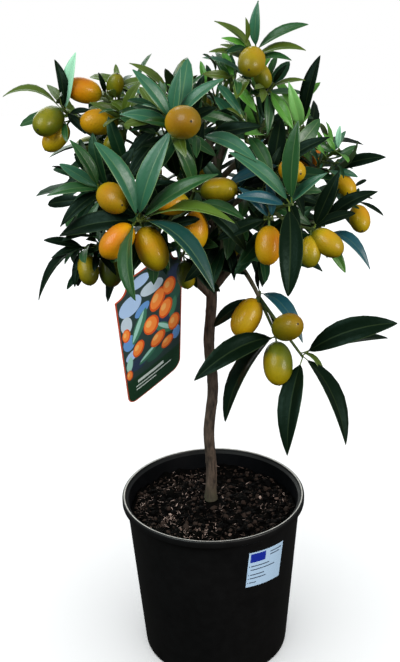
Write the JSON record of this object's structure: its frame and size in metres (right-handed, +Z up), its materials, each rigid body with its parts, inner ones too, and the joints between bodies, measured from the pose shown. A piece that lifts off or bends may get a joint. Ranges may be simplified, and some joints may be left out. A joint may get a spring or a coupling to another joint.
{
  "type": "potted kumquat tree",
  "caption": "Small standard kumquat tree with glossy leaves and oval fruit, growing in the soil of a round black nursery pot, with a hanging plant card.",
  "frame": {"origin": "centre of the pot's flat underside", "axes": "+Z up along the trunk, -Y towards the front, +X to the right seen from the front"},
  "size_m": [0.399, 0.382, 0.7716],
  "materials": {
    "pot_plastic": "black moulded nursery plastic, satin, with a shiny rolled lip",
    "soil": "moist dark potting soil with bark chips",
    "bark": "grey-brown young bark with fine lengthwise ridges and small knots",
    "foliage": "dark glossy green leaves with paler undersides, and orange to olive-green waxy fruit",
    "card_print": "thin printed plastic card, semi-gloss, orange and dark green",
    "label_film": "white film sticker with a plain blue block and grey bars"
  },
  "bodies": {
    "root": {"pot": "pot_plastic", "soil": "soil", "pot_label": "label_film", "trunk": "bark", "plant_tag": "card_print", "bough_leader": "bark", "bough_left": "bark", "bough_lower_left": "bark", "bough_front": "bark", "bough_right_front": "bark", "bough_right_low": "bark", "bough_sprig": "bark", "bough_back": "bark", "bough_back_low": "bark", "bough_upper_left": "bark", "bough_right_upper": "bark", "bough_back_left": "bark", "bough_back_right": "bark", "bough_upper_front": "bark", "bough_right_shoulder": "bark", "bough_back_top": "bark", "bough_inner_front": "bark", "bough_top": "bark", "foliage_left": "foliage", "foliage_lower_left": "foliage", "foliage_front": "foliage", "foliage_right_front": "foliage", "foliage_right_low": "foliage", "foliage_sprig": "foliage", "foliage_back": "foliage", "foliage_back_low": "foliage", "foliage_upper_left": "foliage", "foliage_right_upper": "foliage", "foliage_back_left": "foliage", "foliage_back_right": "foliage", "foliage_upper_front": "foliage", "foliage_right_shoulder": "foliage", "foliage_back_top": "foliage", "foliage_inner_front": "foliage", "foliage_top": "foliage"}
  },
  "joints": []
}
